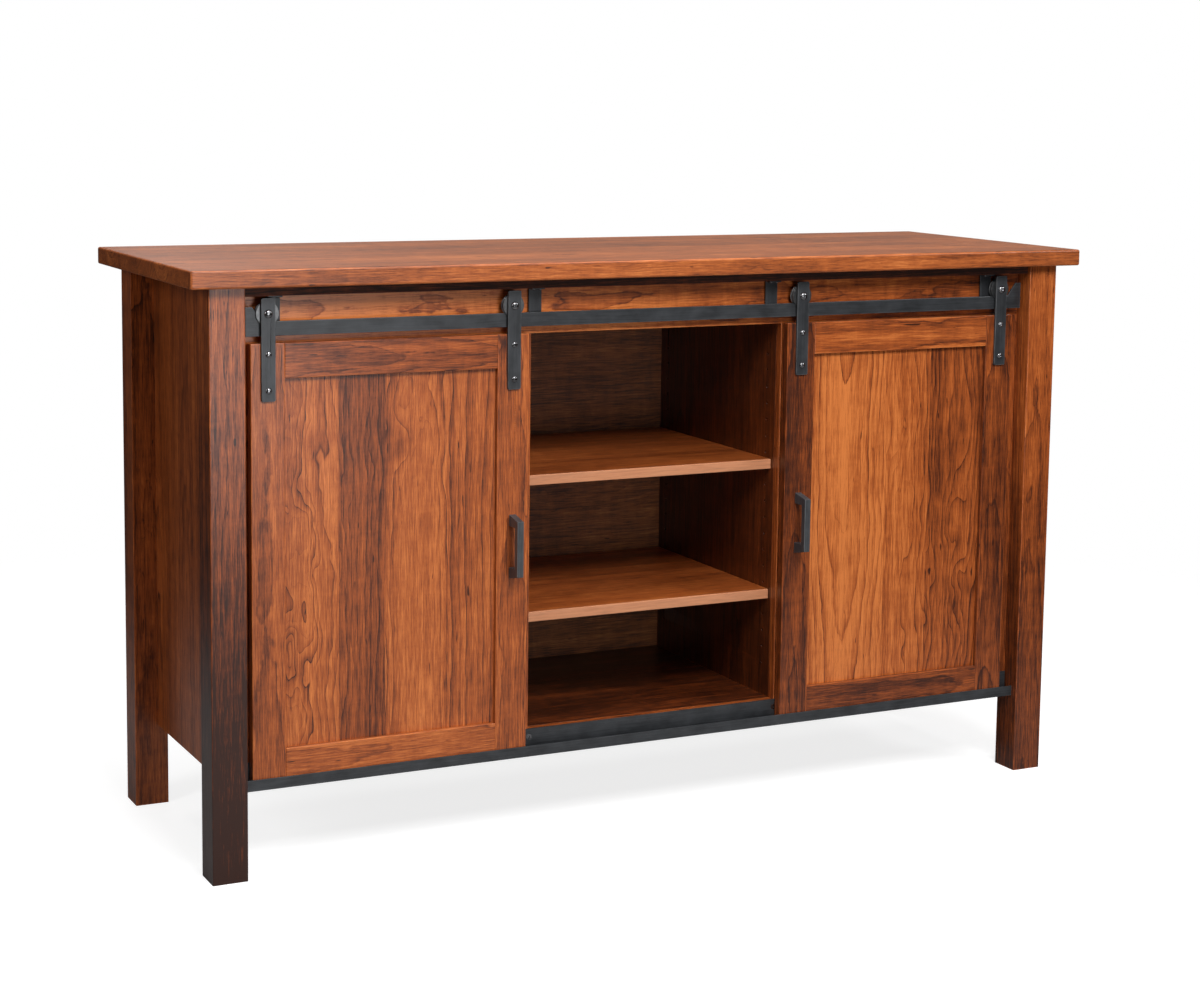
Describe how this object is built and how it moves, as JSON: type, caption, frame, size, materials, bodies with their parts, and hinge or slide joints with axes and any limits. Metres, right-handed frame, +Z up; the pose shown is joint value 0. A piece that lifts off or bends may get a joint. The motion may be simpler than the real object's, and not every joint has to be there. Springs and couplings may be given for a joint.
{
  "type": "tv stand with sliding doors",
  "caption": "Stained wood sideboard for a television with an open shelf bay between two compartments behind sliding doors hung from an exposed steel track.",
  "frame": {"origin": "on the floor under the middle of the tabletop", "axes": "+X to the right along the front, +Y to the back, +Z up; the doors face -Y"},
  "size_m": [1.8288, 0.6096, 1.0668],
  "materials": {
    "stained_wood": "satin lacquer over reddish brown stain",
    "plywood": "satin lacquer over reddish brown stain",
    "black_steel": "satin blackened steel",
    "wheel_steel": "satin blackened steel, turned",
    "bright_steel": "zinc plated"
  },
  "bodies": {
    "case": {"back_left_leg": "stained_wood", "back_panel": "plywood", "back_right_leg": "stained_wood", "back_top_rail": "stained_wood", "bottom_panel": "stained_wood", "bottom_rail": "stained_wood", "fascia_board": "stained_wood", "front_left_leg": "stained_wood", "front_right_leg": "stained_wood", "guide_channel": "black_steel", "guide_screws": "bright_steel", "header_board": "stained_wood", "left_inner_stile": "stained_wood", "left_outer_stile": "stained_wood", "left_partition": "stained_wood", "left_side_panel": "stained_wood", "lower_shelf": "stained_wood", "right_inner_stile": "stained_wood", "right_outer_stile": "stained_wood", "right_partition": "stained_wood", "right_side_panel": "stained_wood", "shelf_pins": "bright_steel", "standoff_1": "black_steel", "standoff_2": "black_steel", "standoff_3": "black_steel", "standoff_4": "black_steel", "standoff_screws": "bright_steel", "tabletop": "stained_wood", "track_bar": "black_steel", "track_spacers": "black_steel", "upper_shelf": "stained_wood"},
    "left_door": {"left_door_axle_bolts": "bright_steel", "left_door_axle_nuts": "bright_steel", "left_door_bottom_rail": "stained_wood", "left_door_handle": "black_steel", "left_door_handle_screws": "bright_steel", "left_door_hanger_screws": "bright_steel", "left_door_left_hanger": "black_steel", "left_door_left_stile": "stained_wood", "left_door_panel": "stained_wood", "left_door_right_hanger": "black_steel", "left_door_right_stile": "stained_wood", "left_door_top_rail": "stained_wood"},
    "left_door_left_wheel": {"left_door_left_wheel": "wheel_steel"},
    "left_door_right_wheel": {"left_door_right_wheel": "wheel_steel"},
    "right_door": {"right_door_axle_bolts": "bright_steel", "right_door_axle_nuts": "bright_steel", "right_door_bottom_rail": "stained_wood", "right_door_handle": "black_steel", "right_door_handle_screws": "bright_steel", "right_door_hanger_screws": "bright_steel", "right_door_left_hanger": "black_steel", "right_door_left_stile": "stained_wood", "right_door_panel": "stained_wood", "right_door_right_hanger": "black_steel", "right_door_right_stile": "stained_wood", "right_door_top_rail": "stained_wood"},
    "right_door_left_wheel": {"right_door_left_wheel": "wheel_steel"},
    "right_door_right_wheel": {"right_door_right_wheel": "wheel_steel"}
  },
  "joints": [
    {"name": "left_door_slide", "type": "slide", "parent": "case", "child": "left_door", "axis": [1, 0, 0], "range_m": [0, 0.269]},
    {"name": "right_door_slide", "type": "slide", "parent": "case", "child": "right_door", "axis": [-1, 0, 0], "range_m": [-0.014, 0.269]},
    {"name": "left_door_left_wheel_spin", "type": "hinge", "parent": "left_door", "child": "left_door_left_wheel", "pos_m": [-0.76765, -0.2558, 0.9879], "axis": [0, 1, 0], "continuous": true},
    {"name": "left_door_right_wheel_spin", "type": "hinge", "parent": "left_door", "child": "left_door_right_wheel", "pos_m": [-0.30795, -0.2558, 0.9879], "axis": [0, 1, 0], "continuous": true},
    {"name": "right_door_left_wheel_spin", "type": "hinge", "parent": "right_door", "child": "right_door_left_wheel", "pos_m": [0.29396, -0.2558, 0.9879], "axis": [0, 1, 0], "continuous": true},
    {"name": "right_door_right_wheel_spin", "type": "hinge", "parent": "right_door", "child": "right_door_right_wheel", "pos_m": [0.75365, -0.2558, 0.9879], "axis": [0, 1, 0], "continuous": true}
  ],
  "couplings": [
    {"joint": "left_door_left_wheel_spin", "follows": "left_door_slide", "rad_per_m": 74.074},
    {"joint": "left_door_right_wheel_spin", "follows": "left_door_slide", "rad_per_m": 74.074},
    {"joint": "right_door_left_wheel_spin", "follows": "right_door_slide", "rad_per_m": -74.074},
    {"joint": "right_door_right_wheel_spin", "follows": "right_door_slide", "rad_per_m": -74.074}
  ]
}
